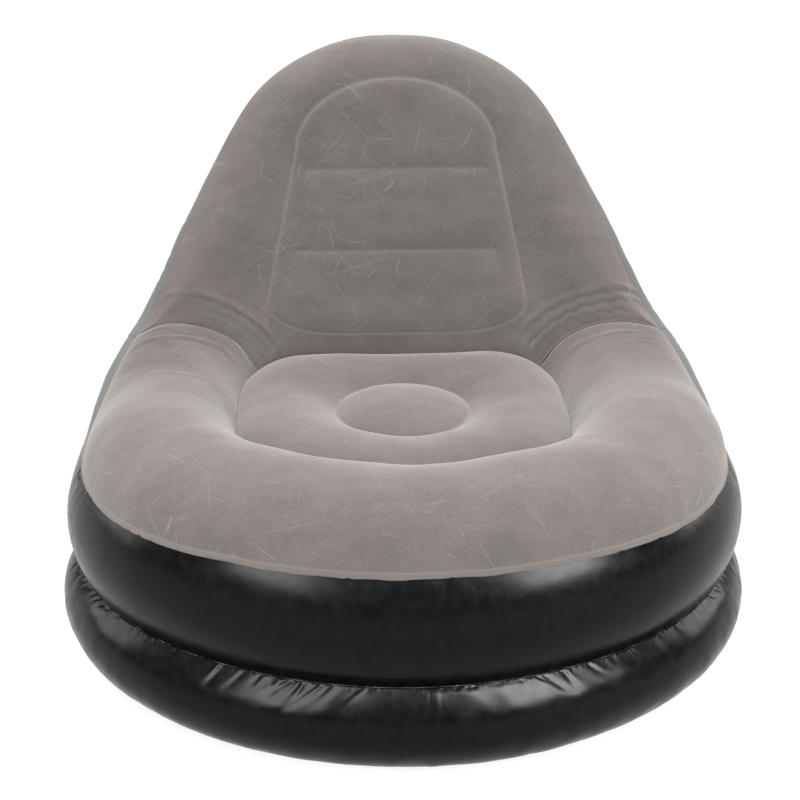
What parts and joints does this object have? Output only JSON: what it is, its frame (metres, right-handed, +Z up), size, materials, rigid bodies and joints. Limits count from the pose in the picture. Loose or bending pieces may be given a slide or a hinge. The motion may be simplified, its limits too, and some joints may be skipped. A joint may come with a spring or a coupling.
{
  "type": "inflatable lounge chair",
  "caption": "Inflatable lounge chair: two stacked air rings, a flocked top with padded arms, a sunken seat pad, and a tall backrest with a sunken arched panel",
  "frame": {"origin": "on the floor, under the middle of the chair's bounding box", "axes": "+Z up, front of the chair faces -Y, +X is the right of a viewer who faces the front of the chair"},
  "size_m": [0.9816, 1.0446, 0.7774],
  "materials": {
    "black_vinyl": "semi-gloss soft PVC film",
    "taupe_flock": "soft PVC film with a short flocked pile",
    "grey_film": "unprinted soft PVC film",
    "valve_vinyl": "moulded soft PVC, satin"
  },
  "bodies": {
    "envelope": {"lower_wall": "black_vinyl", "upper_wall": "black_vinyl", "back_wall": "black_vinyl", "base_sheet": "black_vinyl", "lower_seam_tape": "black_vinyl", "upper_seam_tape": "black_vinyl", "arm_roll_sheet": "taupe_flock", "seat_pad_sheet": "taupe_flock", "back_sheet": "taupe_flock", "waist_diaphragm": "grey_film", "base_ring_beam": "grey_film", "seat_outline_beam": "grey_film", "seat_centre_beam": "grey_film", "back_outline_beam": "grey_film", "back_beam_lower": "grey_film", "back_beam_upper": "grey_film", "valve_collar": "valve_vinyl"},
    "plug": {"valve_plug": "valve_vinyl"},
    "flap": {"check_flap": "valve_vinyl"},
    "cap": {"valve_cap": "valve_vinyl", "cap_strap": "valve_vinyl"}
  },
  "joints": [
    {"name": "plug_pull", "type": "slide", "parent": "envelope", "child": "plug", "axis": [-0.0701, 0.9975, 0.0126], "range_m": [0, 0.016]},
    {"name": "flap_swing", "type": "hinge", "parent": "plug", "child": "flap", "pos_m": [-0.0147, 0.47925, 0.398], "axis": [0, -0.0127, 0.9999], "range_deg": [0, 65], "stiffness_Nm_per_rad": 0.002},
    {"name": "cap_swing", "type": "hinge", "parent": "plug", "child": "cap", "pos_m": [-0.04607, 0.49489, 0.3982], "axis": [0, -0.0127, 0.9999], "range_deg": [0, 150]}
  ]
}
